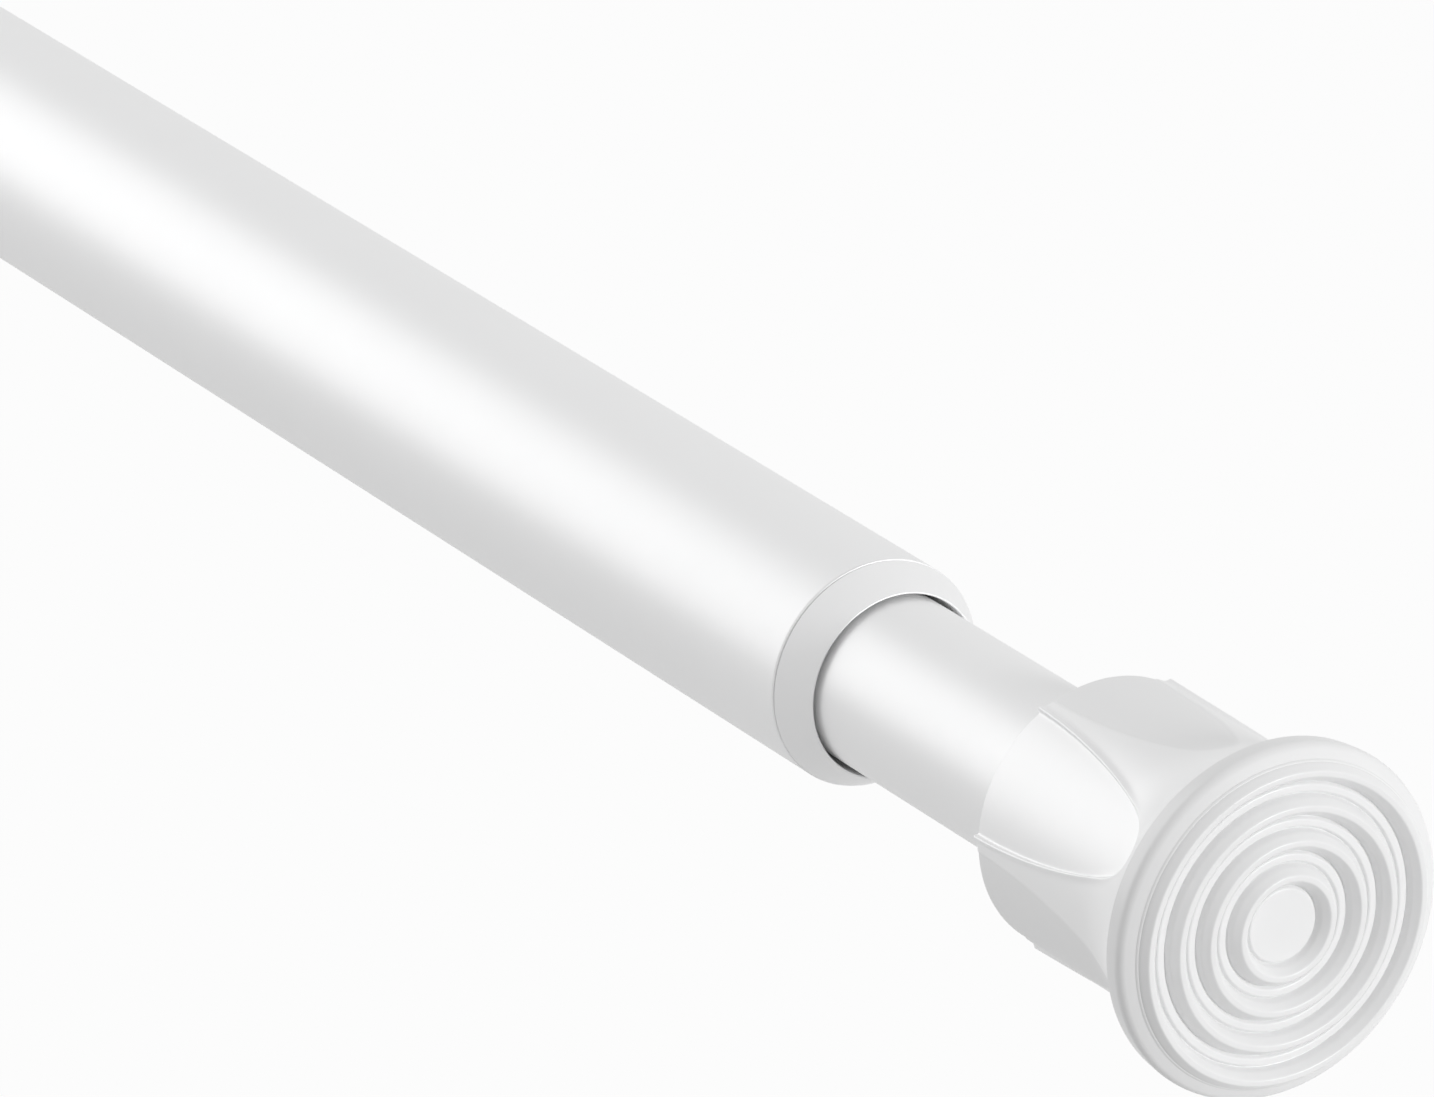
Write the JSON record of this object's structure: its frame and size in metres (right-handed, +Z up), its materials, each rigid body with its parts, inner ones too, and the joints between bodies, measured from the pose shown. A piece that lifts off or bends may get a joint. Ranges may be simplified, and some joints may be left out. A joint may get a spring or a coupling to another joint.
{
  "type": "spring tension rod",
  "caption": "Telescopic curtain rod with a twist lock and an inner spring, held between two walls by ribbed round end pads.",
  "frame": {"origin": "centre of the wall face of the outer tube's end, on the plane of its rib crests", "axes": "+X along the rod from the outer tube's end to the inner tube's end, +Z up"},
  "size_m": [0.4379, 0.038, 0.038],
  "materials": {
    "tube_paint": "white powder coat, satin",
    "cap_plastic": "moulded white plastic, satin",
    "pad_rubber": "soft white rubber",
    "guide_plastic": "natural moulded plastic",
    "zinc_steel": "bright zinc plate",
    "spring_steel": "drawn spring wire",
    "brass": "machined brass"
  },
  "bodies": {
    "outer": {"outer_tube": "tube_paint", "tube_collar": "cap_plastic", "outer_end_hub": "cap_plastic", "outer_end_pad": "pad_rubber"},
    "lock": {"expansion_sleeve": "guide_plastic"},
    "screw": {"spindle": "zinc_steel", "thrust_washer": "zinc_steel", "retaining_clip": "spring_steel", "spring_washer_rear": "zinc_steel", "compression_spring": "spring_steel", "tail_washer": "zinc_steel", "tail_nut": "zinc_steel", "stop_nut": "zinc_steel"},
    "inner": {"inner_tube": "tube_paint", "inner_end_hub": "cap_plastic", "inner_end_pad": "pad_rubber", "guide_plug": "guide_plastic", "spring_washer_front": "zinc_steel"},
    "wedge": {"wedge_cone": "guide_plastic", "wedge_nut": "brass"}
  },
  "joints": [
    {"name": "telescope", "type": "slide", "parent": "outer", "child": "lock", "axis": [1, 0, 0], "range_m": [-0.0178, 0.1621]},
    {"name": "twist", "type": "hinge", "parent": "lock", "child": "screw", "pos_m": [0, 0, 0], "axis": [1, 0, 0], "range_deg": [0, 720]},
    {"name": "spring_stroke", "type": "slide", "parent": "screw", "child": "inner", "axis": [1, 0, 0], "range_m": [-0.02, 0], "stiffness_N_per_m": 3000, "springref_m": 0.004, "deforming": ["compression_spring"]},
    {"name": "wedge_draw", "type": "slide", "parent": "lock", "child": "wedge", "axis": [1, 0, 0], "range_m": [0, 0.002], "deforming": ["expansion_sleeve"]}
  ],
  "couplings": [
    {"joint": "wedge_draw", "follows": "twist", "m_per_rad": 0.00015915}
  ]
}
